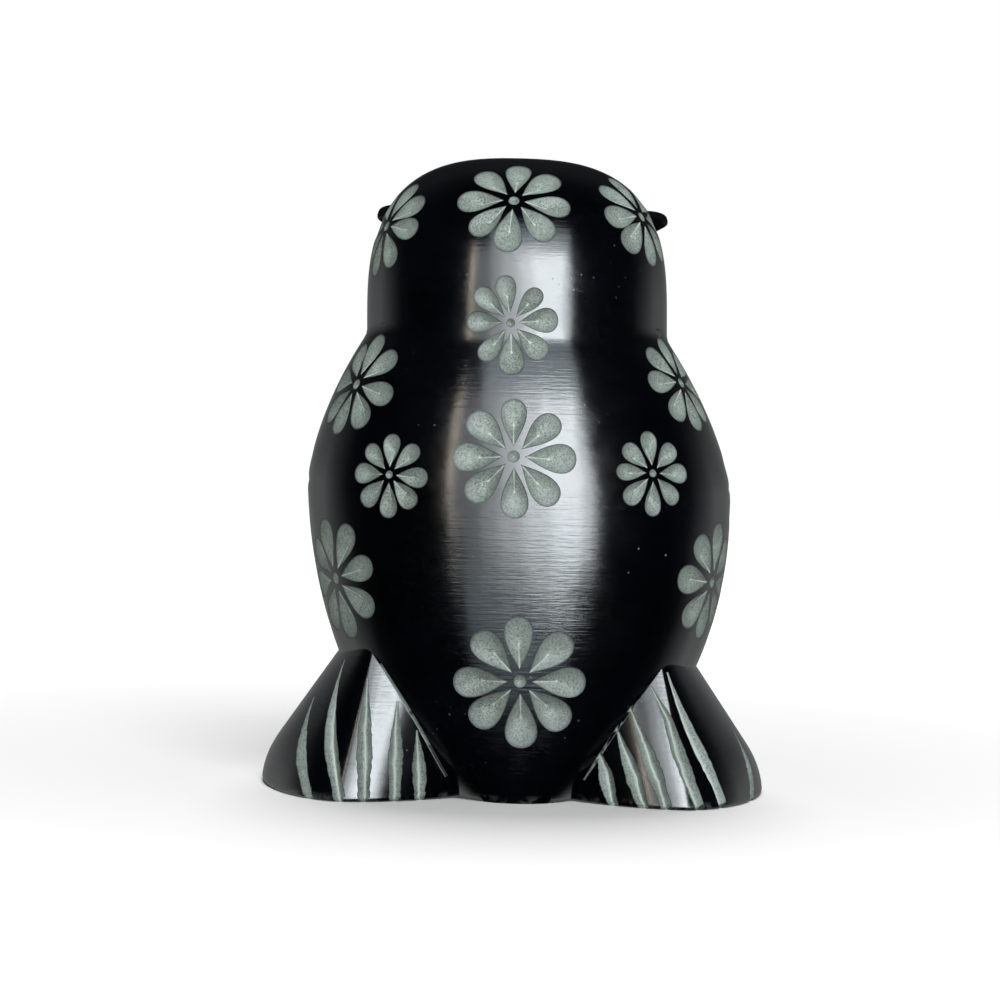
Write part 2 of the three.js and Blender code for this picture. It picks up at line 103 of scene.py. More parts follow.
# Flowers: turn about Z from the back toward +X, height share, radius, spin in degrees,
# how uneven the carving is, and how much longer the upright petals are
FLOWERS = [
    (3, 0.911, 6.5, 4, 0.6, 0), (3, 0.721, 5, -3, 1.6, 0.13), (2, 0.519, 6.9, -1, 0.6, -0.03),
    (0, 0.186, 7.4, -1, 0.6, 0), (41, 0.488, 4.7, 1, 0.8, 0), (-42, 0.5, 4.7, -1, 0.8, 0),
    (62, 0.627, 6.5, 10, 0.8, 0), (-66, 0.643, 6.2, 0, 0.8, 0), (64, 0.327, 7, -12, 0.8, 0),
    (-68, 0.335, 6.8, 3, 0.8, 0), (68, 0.878, 6.2, 8, 0.8, 0), (-65, 0.902, 6.2, 0, 0.8, 0),
    (93, 0.48, 5.6, 0, 0.6, 0), (-91, 0.48, 5.6, 0, 0.6, 0), (-118, 0.986, 5.6, 12, 0.6, 0),
    (180, 0.548, 6, 0, 0.6, 0), (180, 0.32, 6.6, 0, 0.6, 0), (108, 0.3, 5.8, 0, 0.6, 0),
    (-108, 0.3, 5.8, 0, 0.6, 0),
]

# Grooves on each lobe's back: turn and height share at the tip, and turn at the foot
BACK_GROOVES = {
    1: [(58, 0.53, 23), (44, 0.76, 1), (0, 0.68, -9), (-14, 0.55, -20), (-23, 0.39, -29)],
    -1: [(67, 0.38, 54), (10, 0.75, 29), (-6, 0.67, 13), (-15, 0.55, -7), (-21, 0.44, -16), (-29, 0.32, -26)],
}
FRONT_GROOVES = {"count": 5, "turns": (158, 118), "rises": (0.42, 0.72), "spread": 6}
WING_EDGE = {"turns": (122, 146), "rises": (0.62, 0.2), "bow": 12, "width": 2.2, "depth": 1.1}
CREASE_LINE = {"widths": {1: 0.18, -1: 0.1}, "depth": 0.16, "bottom": 3.0, "top": 15.0, "between": (-88, 40)}
TOE_CUT_WIDTH = 1.4

# Small chips in the polish on the lower body: turn, height, radius
CHIPS = [(-61, 28.6, 0.75), (-60, 27.4, 0.4), (-46, 28.3, 0.35), (-37, 29.0, 0.3), (-34, 26.3, 0.28)]

# Mesh fineness, and how surfaces are searched: step and range in millimetres, and number of halvings
BODY_SEGMENTS = 168
BODY_RINGS = 90
HEAD_RINGS = 44
LOBE_SEGMENTS = 96
LOBE_RINGS = 40
PETAL_SIDES = 28
CUT_LEVELS = (1, 0.94, 0.6, 0.3)
CROWN_TIP = 0.05
SLOPE_STEP = 0.02
SEARCH = {"high": 3.0, "low": -7.0, "halvings": 28}
CREASE_HALVINGS = 24

# Shading: metres from the uncut surface, metres between equal points, least agreement and sharpest angle
NEAR_SURFACE = 2e-5
SAME_POINT = 2e-6
LEAST_FACING = 0.5
SHARP_ANGLE = 32

# Material indices on every object, and the sides as seen with the owl's back toward +Y
POLISHED = 0
ROUGH = 1
SIDES = (1, -1)

rng = np.random.default_rng(7)


def arch(distance, size, reach, power):
    share = min(abs(distance) / reach, 1.0)
    return size * (1 - share ** power) ** (1 / power)


def signed_power(value, power):
    return math.copysign(abs(value) ** power, value)


def lerp(start, end, share):
    return start + (end - start) * share


def smoothstep(value, low, high):
    share = min(max((value - low) / (high - low), 0.0), 1.0)
    return share * share * (3 - 2 * share)


def blend(a, b, width):
    overlap = max(width - abs(a - b), 0.0) / width
    return overlap * overlap * width / 4


def half_size(profile, z):
    above = z - WAIST
    reach, power = (profile["up"], SHOULDER_POWER) if above > 0 else (profile["down"], HIP_POWER)
    egg = arch(above, profile["body"], reach, power)
    if above <= 0:
        return egg
    head = arch(max(z - BROW, 0.0), profile["head"], HEIGHT - BROW, profile["crown"])
    return max(egg, head) + blend(egg, head, NECK_BLEND)


def side_shift(z):
    return lerp(HIP_SHIFT, HEAD_SHIFT, smoothstep(z, *LEAN))


def body_radius(turn, z):
    back = math.cos(turn) > 0
    power = BACK_POWER if back else FRONT_POWER
    across = abs(math.sin(turn)) / max(half_size(PROFILES["side"], z), 1e-6)
    along = abs(math.cos(turn)) / max(half_size(PROFILES["back" if back else "front"], z), 1e-6)
    return (across ** power + along ** power) ** (-1 / power)


def body_point(turn, z):
    radius = body_radius(turn, z)
    return Vector((side_shift(z) + radius * math.sin(turn), radius * math.cos(turn), z))


def inside_body(point):
    if point.z >= HEIGHT:
        return False
    x = point.x - side_shift(point.z)
    return math.hypot(x, point.y) < body_radius(math.atan2(x, point.y), point.z)


def lobe_point(side, turn, z):
    def taper(key):
        return lerp(LOBE_FOOT[key], LOBE_TOP[key], z / LOBE_HEIGHT)
    edge = taper("edge")
    outer = min(edge, BASE_HALF_WIDTH) - blend(edge, BASE_HALF_WIDTH, LOBE_CORNER)
    rounding = FOOT_ROUNDING - math.sqrt(max(FOOT_ROUNDING ** 2 - max(FOOT_ROUNDING - z, 0.0) ** 2, 0.0))
    middle = taper("middle")
    reach = (outer - middle if math.sin(turn) > 0 else LOBE_INNER_REACH) - rounding
    x = middle + reach * signed_power(math.sin(turn), 2 / LOBE_POWER)
    y = (taper("depth") - rounding) * signed_power(math.cos(turn), 2 / LOBE_POWER)
    return Vector((side * x, y, z))


class Spot:
    """A place on a surface, with its outward, up and right directions as seen from outside."""

    def __init__(self, surface, turn, z):
        step = SLOPE_STEP
        self.origin = surface(turn, z)
        along_turn = surface(turn + step, z) - surface(turn - step, z)
        along_height = surface(turn, min(z + step, HEIGHT - step)) - surface(turn, z - step)
        outward = along_height.cross(along_turn).normalized()
        if outward.dot(Vector((self.origin.x, self.origin.y, 0))) < 0:
            outward.negate()
        self.outward = outward
        self.right = Vector((0, 0, 1)).cross(outward).normalized()
        self.up = outward.cross(self.right).normalized()

    def at(self, across, upward, lift):
        return self.origin + self.right * across + self.up * upward + self.outward * lift

    def on_body(self, across, upward):
        high, low = SEARCH["high"], SEARCH["low"]
        for _ in range(SEARCH["halvings"]):
            middle = (high + low) / 2
            if inside_body(self.at(across, upward, middle)):
                low = middle
            else:
                high = middle
        return self.at(across, upward, low)


class Shape:
    """Points and faces of one closed mass or cut, with painted-shade and painted-highlight values for each
    point of a cut.
    """

    def __init__(self, points, faces, shades=None):
        corners = np.array([tuple(point) for point in points])
        a, b, c = (corners[[face[k] for face in faces]] for k in (0, 1, 2))
        volume = np.einsum("ij,ij->i", a, np.cross(b, c)).sum()
        self.points = corners
        self.faces = [face[::-1] for face in faces] if volume < 0 else faces
        self.shades = shades if shades is not None else np.zeros((len(corners), 2))

    def to_object(self, name, slot, stones):
        mesh = bpy.data.meshes.new(name)
        mesh.from_pydata((self.points * MM).tolist(), [], self.faces)
        for stone in stones:
            mesh.materials.append(stone)
        mesh.polygons.foreach_set("material_index", [slot] * len(mesh.polygons))
        obj = bpy.data.objects.new(name, mesh)
        bpy.context.scene.collection.objects.link(obj)
        return obj


def triangles_between(low, high, count):
    faces = []
    for index in range(count):
        after = (index + 1) % count
        faces.append((low + index, low + after, high + after))
        faces.append((low + index, high + after, high + index))
    return faces


def loft(rings, shades=None):
    count = len(rings[0])
    points = [point for ring in rings for point in ring]
    faces = []
    for ring in range(len(rings) - 1):
        faces += triangles_between(ring * count, (ring + 1) * count, count)
    for ring, flip in ((0, False), (len(rings) - 1, True)):
        middle = sum(rings[ring], Vector()) / count
        points.append(middle)
        centre = len(points) - 1
        for index in range(count):
            pair = (ring * count + index, ring * count + (index + 1) % count)
            faces.append((centre, *pair) if flip else (centre, *pair[::-1]))
    if shades is not None:
        shades = np.vstack([shades, shades[:1], shades[-1:]])
    return Shape(points, faces, shades)


def circle(count):
    return [TURN * index / count for index in range(count)]


def make_body():
    heights = [BROW * ring / BODY_RINGS for ring in range(BODY_RINGS)]
    for ring in range(HEAD_RINGS):
        quarter = math.sin(math.pi / 2 * ring / HEAD_RINGS)
        heights.append(BROW + (HEIGHT - BROW) * quarter ** (2 / PROFILES["back"]["crown"]))
    rings = [[body_point(turn, z) for turn in circle(BODY_SEGMENTS)] for z in heights]
    tip = Vector((side_shift(HEIGHT), 0, HEIGHT))
    rings.append([
        tip + Vector((math.sin(turn), math.cos(turn), 0)) * CROWN_TIP
        for turn in circle(BODY_SEGMENTS)
    ])
    return loft(rings)


def make_lobe(side):
    rounding = [FOOT_ROUNDING * share for share in (0, 0.05, 0.2, 0.45, 0.7, 1)]
    rest = [lerp(FOOT_ROUNDING, LOBE_HEIGHT, ring / LOBE_RINGS) for ring in range(1, LOBE_RINGS + 1)]
    return loft([[lobe_point(side, turn, z) for turn in circle(LOBE_SEGMENTS)] for z in rounding + rest])


def make_ridge(line, section_at):
    """A raised, rounded ridge on the body along a line of turn and height."""
    arc = [
        (signed_power(math.cos(angle), RIDGE_SQUARE), abs(math.sin(angle)) ** RIDGE_SQUARE)
        for angle in np.linspace(0, math.pi, 17)
    ]
    rings = []
    for station in range(RIDGE_STATIONS):
        share = station / (RIDGE_STATIONS - 1)
        turn, z = line(share)
        spot = Spot(body_point, turn, z)
        outward = Vector((spot.outward.x, spot.outward.y, 0)).normalized()
        travel = (body_point(*line(share + 0.02)) - spot.origin).normalized()
        across = travel.cross(outward).normalized()
        width, rise, lean = section_at(share)
        section = [(-1, -SUNK)] + [(-x, y * rise) for x, y in arc] + [(1, -SUNK)]
        rings.append([
            spot.origin + across * (x * width / 2) + outward * lift + travel * (max(lift, 0) * lean)
            for x, lift in section
        ])
    return loft(rings)


def make_brow(side):
    def line(share):
        turn = math.pi - side * math.radians(lerp(BROW_RIDGE["start"], BROW_RIDGE["end"], share))
        climb = share ** BROW_SHAPE["climb"]
        return turn, lerp(EYE["height"] - BROW_RIDGE["dip"], BROW_RIDGE["tuft_height"], climb)

    def section(share):
        rise = lerp(BROW_RIDGE["rise"], TUFT_RISE[side], share ** 2)
        width = BROW_RIDGE["width"] * lerp(BROW_SHAPE["inner_width"], 1.0, share)
        return width, rise, BROW_SHAPE["lean"] * share
    return make_ridge(line, section)


def make_beak():
    def line(share):
        return math.pi, EYE["height"] + BROW_RIDGE["dip"] - BEAK["length"] * share

    def section(share):
        width = BEAK["width"] * (0.35 + math.sin(math.pi * min(share, 1) ** 0.9)) * 0.75
        rise = BEAK["rise"] * (0.35 + 0.65 * math.sin(math.pi * min(share, 1) ** 1.2 * 0.82))
        return width, rise, 0.5 * share
    return make_ridge(line, section)


def turned(spot, profile, sides=64):
    """Round carving about the outward axis, from a closed profile of radius and lift."""
    return loft([
        [spot.at(radius * math.sin(turn), radius * math.cos(turn), lift) for turn in circle(sides)]
        for radius, lift in profile
    ])


def eye_spot(side):
    aside = math.asin(EYE["spread"] / PROFILES["side"]["head"])
    return Spot(body_point, math.pi - side * aside, EYE["height"])


def make_eye(side):
    radius, rise, pupil = EYE["radius"], EYE["rise"], EYE["pupil"]
    dome = []
    for share in np.linspace(0, 1, 14):
        reach = lerp(radius, pupil + EYE_DOME["rim"], share)
        level = rise * math.sqrt(max(1 - (reach / radius) ** EYE_DOME["power"], 0))
        dome.append((reach, level))
    pit = [
        (pupil * (1 - share), rise - EYE_DOME["pit_depth"] * math.sin(share * math.pi / 2))
        for share in EYE_DOME["pit_steps"]
    ]
    return turned(eye_spot(side), [(CROWN_TIP, -SUNK), (radius, -SUNK)] + dome + pit)


def eye_ring_cut(side, sides=72):
    spot = eye_spot(side)
    radius, half_width, depth = EYE_RING["radius"], EYE_RING["half_width"], EYE_RING["depth"]
    widen = 1 + CUT_LIFT / depth
    section = [(-half_width * widen, CUT_LIFT), (half_width * widen, CUT_LIFT), (0, -depth)]
    points = []
    for turn in circle(sides):
        for aside, lift in section:
            reach = radius + aside
            ground = spot.on_body(reach * math.sin(turn), reach * math.cos(turn))
            points.append(ground + spot.outward * lift)
    faces = []
    for index in range(sides):
        here, there = 3 * index, 3 * ((index + 1) % sides)
        for k in range(3):
            after = (k + 1) % 3
            faces.append((here + k, here + after, there + after))
            faces.append((here + k, there + after, there + k))
    # The ring's bottom line is marked for the painted highlight and its edges for painted shade
    shades = np.array([(0, 0), (0, 0), (1, 1)] * sides, dtype=float)
    return Shape(points, faces, shades)


def make_foot(side):
    size = Vector(TOES["size"])
    centre = Vector((side * TOES["spread"], -TOES["forward"], 0))
    rings = []
    for level in np.linspace(-math.pi / 2 + 0.05, math.pi / 2 - 0.05, 28):
        rings.append([
            centre + Vector((
                size.x * math.cos(level) * math.sin(turn),
                size.y * math.cos(level) * math.cos(turn),
                size.z * math.sin(level),
            ))
            for turn in circle(56)
        ])
    return loft(rings)


def cone_cut(deepest, rim, lid, widen, valley_highlight=None):
    """A hollow from a deepest point out to a rim above the surface, closed by a lid.

    The rim stands off the deepest point by widen times the reach that the surface has.
    Each point carries how deep it is, which the material turns into painted shade near the rim, and how near
    it lies to the valley line, which it turns into a painted highlight."""
    count = len(rim)
    points, shades = [], []
    for level in CUT_LEVELS:
        share = level / widen if level < 1 else 1.0
        for index, edge in enumerate(rim):
            points.append(deepest + (edge - deepest) * share)
            shades.append((1 - level, valley_highlight[index] if valley_highlight else 0.0))
    points += [deepest, lid]
    # The deepest point gets the full painted highlight, so dimples and chips show a pale painted dot; the lid
    # gets none
    shades += [(1.0, 1.0), (0.0, 0.0)]
    faces = []
    for level in range(len(CUT_LEVELS) - 1):
        faces += triangles_between(level * count, (level + 1) * count, count)
    last = (len(CUT_LEVELS) - 1) * count
    for index in range(count):
        after = (index + 1) % count
        faces.append((last + index, last + after, len(points) - 2))
        faces.append((after, index, len(points) - 1))
    return Shape(points, faces, np.array(shades))


def petal_cut(spot, radius, angle, depth, plump):
    inner = PETAL["inner"] * radius
    length = radius - inner
    sharp, widest = PETAL["sharpness"], PETAL["widest"]

    def fullness(along):
        return math.sqrt(max(along * (1 - along), 0.0)) * along ** sharp

    def ground(along, aside):
        across = along * math.sin(angle) + aside * math.cos(angle)
        return spot.on_body(across, along * math.cos(angle) - aside * math.sin(angle))
    deepest = ground(inner + PETAL["deepest"] * length, 0) - spot.outward * depth
    widen = 1 + CUT_LIFT / depth
    rim, valley_highlight = [], []
    for turn in circle(PETAL_SIDES):
        # Painted highlight: points toward the petal's inner tip are marked, so a pale line is painted from
        # the tip down to the deepest point
        valley_highlight.append(max(0.0, (math.cos(turn) - VALLEY_HIGHLIGHT_SPREAD) / (1 - VALLEY_HIGHLIGHT_SPREAD)))
        along = (1 - math.cos(turn)) / 2
        swell = math.copysign(fullness(along) / fullness(widest), math.sin(turn))
        edge = ground(inner + along * length, PETAL["half_width"] * plump * radius * swell)
        rim.append(deepest + (edge - deepest) * widen)
    return cone_cut(deepest, rim, deepest + spot.outward * (depth + 3 * CUT_LIFT), widen, valley_highlight)


def dimple_cut(spot, radius):
    widen = 1 + CUT_LIFT / DIMPLE["depth"]
    size = DIMPLE["share"] * radius * widen
    rim = [spot.at(size * math.sin(turn), size * math.cos(turn), CUT_LIFT) for turn in circle(20)]
    return cone_cut(spot.at(0, 0, -DIMPLE["depth"]), rim, spot.at(0, 0, 2 * CUT_LIFT), widen)


def flower_cuts(flower):
    turn, rise, radius, spin, uneven, tall = flower
    spot = Spot(body_point, math.radians(turn), rise * HEIGHT)
    cuts = []
    for index in range(PETALS):
        angle = TURN * index / PETALS + math.radians(spin + uneven * rng.uniform(-4, 4))
        reach = radius * (1 + tall * math.cos(angle) ** 2 + uneven * rng.uniform(-0.04, 0.06))
        depth = PETAL_DEPTH * (1 + uneven * rng.uniform(-0.15, 0.15))
        plump = PLUMP + uneven * rng.uniform(-0.08, 0.12)
        cuts.append(petal_cut(spot, reach, angle, depth, plump))
    return cuts + [dimple_cut(spot, radius)]


def chip_cut(chip):
    turn, z, radius = chip
    spot = Spot(body_point, math.radians(turn), z)
    rim = []
    for angle in circle(9):
        reach = radius * rng.uniform(0.7, 1.3) * 1.6
        rim.append(spot.on_body(reach * math.sin(angle), reach * math.cos(angle)) + spot.outward * CUT_LIFT)
    return cone_cut(spot.at(0, 0, -0.3 * radius), rim, spot.at(0, 0, 3 * CUT_LIFT), 1 + CUT_LIFT)


def groove_cut(surface, line, width, depth, tip=0.05, stations=30, wander=0.04):
    """A leaf-shaped V cut along a line of turn and height, widest at two thirds of its length."""
    rings, shades = [], []
    lowest = FOOT_ROUNDING / 2
    drift = np.cumsum(rng.normal(0, wander / 2, stations))
    for station in range(stations):
        share = lerp(0.005, 1.04, station / (stations - 1))
        turn, z = line(share)
        spot = Spot(surface, turn, max(z, lowest))
        ahead = line(share + 0.02)
        travel = surface(ahead[0], max(ahead[1], 0.0)) - surface(turn, max(z, 0.02))
        across = travel.cross(spot.outward).normalized()
        fullness = tip + (1 - tip) * math.sin(math.pi * min(share, 0.8) ** 1.4)
        sunk = depth * fullness
        half = width / 2 * fullness * (1 + CUT_LIFT / sunk) * (1 + wander * rng.uniform(-1, 1))
        start = Vector((spot.origin.x, spot.origin.y, min(spot.origin.z, z)))
        section = [(-half, CUT_LIFT), (half, CUT_LIFT), (drift[station] * fullness, -sunk)]
        rings.append([start + across * aside + spot.outward * lift for aside, lift in section])
        # Each section's bottom point is marked for the painted highlight, and its edges for painted shade
        shades += [(0, 0), (0, 0), (1, 1)]
    return loft(rings, np.array(shades, dtype=float))


def lobe_groove(side, groove):
    turn, rise, foot = groove

    def line(share):
        return math.radians(lerp(turn, foot, share)), rise * LOBE_HEIGHT * (1 - share)
    return groove_cut(
        lambda angle, z: lobe_point(side, angle, z), line,
        GROOVE["width"], GROOVE["depth"], tip=GROOVE["tip"], wander=0.09,
    )


def front_grooves(side):
    count = FRONT_GROOVES["count"]
    cuts = []
    for index in range(count):
        share = index / (count - 1)
        turn = lerp(*FRONT_GROOVES["turns"], share)
        rise = lerp(*FRONT_GROOVES["rises"], share)
        cuts.append(lobe_groove(side, (turn, rise, turn + FRONT_GROOVES["spread"])))
    return cuts


def wing_cut(side):
    def line(share):
        turn = lerp(*WING_EDGE["turns"], share) - WING_EDGE["bow"] * math.sin(math.pi * share)
        return side * math.radians(turn), HEIGHT * lerp(*WING_EDGE["rises"], share)
    return groove_cut(body_point, line, WING_EDGE["width"], WING_EDGE["depth"])


def toe_cuts(side):
    size = TOES["size"]

    def toe(angle, z):
        level = math.cos(max(min(z / size[2], 1.5), 0))
        return Vector((
            side * TOES["spread"] + size[0] * level * math.sin(angle),
            -TOES["forward"] - size[1] * level * math.cos(angle),
            z,
        ))

    def cut(step):
        def line(share):
            return math.radians(TOES["turn"] * step), TOES["cut_top"] * size[2] * (1 - share)
        return groove_cut(toe, line, TOE_CUT_WIDTH, GROOVE["depth"], stations=14)
    return [cut(-1), cut(1)]


def crease_cut(side, back):
    """A fine scratched line along the crease where the body meets a lobe."""
    def line(share):
        z = lerp(CREASE_LINE["top"], CREASE_LINE["bottom"], share)
        near, far = (math.radians(turn) for turn in CREASE_LINE["between"])
        for _ in range(CREASE_HALVINGS):
            middle = (near + far) / 2
            point = lobe_point(side, middle if back else math.pi - middle, z)
            if inside_body(point):
                near = middle
            else:
                far = middle
        return (near if back else math.pi - near), z
    return groove_cut(
        lambda angle, z: lobe_point(side, angle, z), line,
        CREASE_LINE["widths"][side], CREASE_LINE["depth"], tip=0.4, wander=0.06,
    )


def ground_cut():
    size = 3 * BASE_HALF_WIDTH
    square = ((-1, -1), (1, -1), (1, 1), (-1, 1))
    corners = [Vector((x * size, y * size, z)) for z in (-size, 0.0) for x, y in square]
    faces = [(0, 2, 1), (0, 3, 2), (4, 5, 6), (4, 6, 7)] + triangles_between(0, 4, 4)
    return Shape(corners, faces)


def side_by_side(shapes):
    """Several closed shapes that don't touch, held as one."""
    faces, start = [], 0
    for shape in shapes:
        faces += [tuple(corner + start for corner in face) for face in shape.faces]
        start += len(shape.points)
    return Shape(
        np.vstack([shape.points for shape in shapes]), faces,
        np.vstack([shape.shades for shape in shapes]),
    )


def apply_boolean(target, other, operation):
    cut = target.modifiers.new("cut", "BOOLEAN")
    cut.operation = operation
    cut.solver = "MANIFOLD"
    cut.object = other
    with bpy.context.temp_override(object=target, active_object=target):
        bpy.ops.object.modifier_apply(modifier=cut.name)
    bpy.data.objects.remove(other)


def smooth_sources(masses):
    """Fine uncut masses, kept to lend their true normals to the polished faces."""
    trees = []
    for mass in masses:
        corners = mass.points * MM
        faces = np.array(mass.faces)
        face_normals = np.cross(
            corners[faces[:, 1]] - corners[faces[:, 0]],
            corners[faces[:, 2]] - corners[faces[:, 0]],
        )
        normals = np.zeros_like(corners)
        for k in range(3):
            np.add.at(normals, faces[:, k], face_normals)
        normals /= np.maximum(np.linalg.norm(normals, axis=1, keepdims=True), 1e-12)
        tree = BVHTree.FromPolygons(corners.tolist(), mass.faces)
        trees.append((tree, corners, faces, normals))
    return trees


def barycentric_normal(source, point):
    tree, corners, faces, normals = source
    hit, _, index, distance = tree.find_nearest(point)
    face = faces[index]
    a, b, c = corners[face]
    v0, v1, v2 = b - a, c - a, np.array(hit) - a
    d00, d01, d11 = v0 @ v0, v0 @ v1, v1 @ v1
    d20, d21 = v2 @ v0, v2 @ v1
    area = max(d00 * d11 - d01 * d01, 1e-30)
    v = (d11 * d20 - d01 * d21) / area
    w = (d00 * d21 - d01 * d20) / area
    normal = normals[face[0]] * (1 - v - w) + normals[face[1]] * v + normals[face[2]] * w
    return normal / max(np.linalg.norm(normal), 1e-12), distance


def set_normals(mesh, sources):
    """Polished faces take the smooth form's normals; cut faces stay smooth up to their sharp edges."""
    count = len(mesh.loops)
    normals = np.empty(count * 3)
    mesh.corner_normals.foreach_get("vector", normals)
    normals = normals.reshape(-1, 3)
    polygon_normals = [np.array(polygon.normal) for polygon in mesh.polygons]
    cache = {}
    for polygon in mesh.polygons:
        if polygon.material_index == ROUGH:
            continue
        facing = polygon_normals[polygon.index]
        centre = polygon.center
        source_id = min(range(len(sources)), key=lambda k: sources[k][0].find_nearest(centre)[3])
        for loop in polygon.loop_indices:
            vertex = mesh.loops[loop].vertex_index
            key = (vertex, source_id)
            if key not in cache:
                cache[key] = barycentric_normal(sources[source_id], mesh.vertices[vertex].co)
            normal, distance = cache[key]
            if distance < NEAR_SURFACE and normal @ facing > LEAST_FACING:
                normals[loop] = normal
    mesh.normals_split_custom_set(normals.tolist())


def mark_sharp(mesh, limit):
    work = bmesh.new()
    work.from_mesh(mesh)
    for edge in work.edges:
        faces = edge.link_faces
        if len(faces) == 2:
            differs = faces[0].material_index != faces[1].material_index
            edge.smooth = not differs and faces[0].normal.angle(faces[1].normal, 0) < limit
    for face in work.faces:
        face.smooth = True
    work.to_mesh(mesh)
    work.free()


def store_shades(mesh, cutters):
    """Depth and valley values of the cutters' points, kept on the carved mesh for its material, which paints
    shade from the depth and a highlight from the valley values.
    """
    points = np.vstack([cutter.points for cutter in cutters]) * MM
    shades = np.vstack([cutter.shades for cutter in cutters])
    finder = KDTree(len(points))
    for index, point in enumerate(points):
        finder.insert(point, index)
    finder.balance()
    values = np.zeros((len(mesh.vertices), 4))
    values[:, 3] = 1
    for vertex in mesh.vertices:
        _, index, distance = finder.find(vertex.co)
        if distance < SAME_POINT:
            values[vertex.index, :2] = shades[index]
    layer = mesh.attributes.new("carving_light_and_shade", "FLOAT_COLOR", "POINT")
    layer.data.foreach_set("color", values.ravel())


def carve_owl():
    body = make_body()
    masses = [make_lobe(side) for side in SIDES] + [make_foot(side) for side in SIDES]
    masses += [make_brow(side) for side in SIDES] + [make_beak()] + [make_eye(side) for side in SIDES]
    rings = [eye_ring_cut(side) for side in SIDES]
    flowers = [flower_cuts(flower) for flower in FLOWERS]
    grooves = [
        [lobe_groove(side, groove) for groove in BACK_GROOVES[side]] + front_grooves(side)
        for side in SIDES
    ]
    toes = [toe_cuts(side) for side in SIDES]
    groups = [list(group) for group in zip(*flowers)]
    groups += [[cut for lobe in grooves for cut in lobe[start::2]] for start in (0, 1)]
    groups += [list(group) for group in zip(*toes)]
    groups.append([wing_cut(side) for side in SIDES])
    groups.append([crease_cut(side, back) for side in SIDES for back in (True, False)])
    groups += [[chip_cut(chip) for chip in CHIPS[start::2]] for start in (0, 1)]
    cuts = [side_by_side(group) for group in groups]

    stones = [polished_stone(), rough_stone()]
    owl = body.to_object("carved_owl", POLISHED, stones)
    for shape in rings:
        apply_boolean(owl, shape.to_object("ring_cut", ROUGH, stones), "DIFFERENCE")
    for shape in masses:
        apply_boolean(owl, shape.to_object("mass", POLISHED, stones), "UNION")
    for shape in cuts + [ground_cut()]:
        apply_boolean(owl, shape.to_object("cut", ROUGH, stones), "DIFFERENCE")

    mesh = owl.data
    mark_sharp(mesh, math.radians(SHARP_ANGLE))
    store_shades(mesh, rings + cuts)
    set_normals(mesh, smooth_sources([body] + masses))
    return owl


# Tones of the stone, from the deepest black of the polish to the palest line in a petal, which is a painted
# highlight; the slope and rim tones are painted shade in the cuts
TONES = {
    "black": (0.0002, 0.0003, 0.0006, 1),
    "blue_black": (0.0006, 0.0011, 0.0022, 1),
    "dust": (0.10, 0.12, 0.11, 1),
    "hairline": (0.07, 0.08, 0.075, 1),
    "worn_edge": (0.10, 0.13, 0.11, 1),
    "grey": (0.150, 0.190, 0.166, 1),
    "pale_grey": (0.285, 0.345, 0.310, 1),
    "grain": (0.040, 0.054, 0.047, 1),
    "patch": (0.35, 0.41, 0.38, 1),
    # Painted shade on the shallow outer slopes of a cut
    "slope_shade": (0.05, 0.066, 0.056, 1),
    # Painted shade: a thin near-black line at a cut's rim
    "rim": (0.010, 0.013, 0.011, 1),
    # Painted highlight along a cut's valley and at its deepest point
    "valley_highlight": (0.60, 0.67, 0.63, 1),
}


class Nodes:
    """Short helpers for building a material's node tree."""

    def __init__(self, name):
        self.material = bpy.data.materials.new(name)
        self.material.use_nodes = True
        self.tree = self.material.node_tree
        self.shader = self.tree.nodes["Principled BSDF"]

    def add(self, kind, **settings):
        node = self.tree.nodes.new(kind)
        for key, value in settings.items():
            if key in node.inputs:
                node.inputs[key].default_value = value
            else:
                setattr(node, key, value)
        return node

    def link(self, output, target):
        self.tree.links.new(output, target)

    def noise(self, vector, scale, detail=4.0, roughness=0.6):
        node = self.add("ShaderNodeTexNoise", Scale=scale, Detail=detail, Roughness=roughness)
        self.link(vector, node.inputs["Vector"])
        return node.outputs["Fac"]

    def span(self, value, low, high, start=0.0, end=1.0):
        node = self.add("ShaderNodeMapRange")
        for name, number in (("From Min", low), ("From Max", high), ("To Min", start), ("To Max", end)):
            node.inputs[name].default_value = number
        self.link(value, node.inputs["Value"])
        return node.outputs["Result"]

    def math(self, operation, first, second):
        node = self.add("ShaderNodeMath", operation=operation)
        for index, value in enumerate((first, second)):
            if isinstance(value, (int, float)):
                node.inputs[index].default_value = value
            else:
                self.link(value, node.inputs[index])
        return node.outputs[0]

    def mix(self, factor, first, second):
        node = self.add("ShaderNodeMix", data_type="RGBA")
        for index, value in ((0, factor), (6, first), (7, second)):
            if isinstance(value, (int, float, tuple)):
                node.inputs[index].default_value = value
            else:
                self.link(value, node.inputs[index])
        return node.outputs[2]

    def bump(self, height, strength, distance, normal=None):
        node = self.add("ShaderNodeBump", Strength=strength, Distance=distance)
        self.link(height, node.inputs["Height"])
        if normal is not None:
            self.link(normal, node.inputs["Normal"])
        return node.outputs["Normal"]

    def stretched(self, scale):
        place = self.add("ShaderNodeTexCoord")
        mapping = self.add("ShaderNodeMapping")
        mapping.inputs["Scale"].default_value = scale
        self.link(place.outputs["Object"], mapping.inputs["Vector"])
        return mapping.outputs["Vector"]


def hairlines(n, tilt, scale, gap):
    """Sparse fine scratches that run at a tilt to level."""
    place = n.add("ShaderNodeTexCoord")
    mapping = n.add("ShaderNodeMapping", vector_type="POINT")
    mapping.inputs["Rotation"].default_value = (0.0, math.radians(tilt), 0.0)
    n.link(place.outputs["Object"], mapping.inputs["Vector"])
    long = n.add("ShaderNodeMapping")
    long.inputs["Scale"].default_value = (scale * 0.03, scale * 0.2, scale)
    n.link(mapping.outputs["Vector"], long.inputs["Vector"])
    lines = n.noise(long.outputs["Vector"], 1.0, 2.0, 0.5)
    return n.span(lines, gap, gap + 0.035)


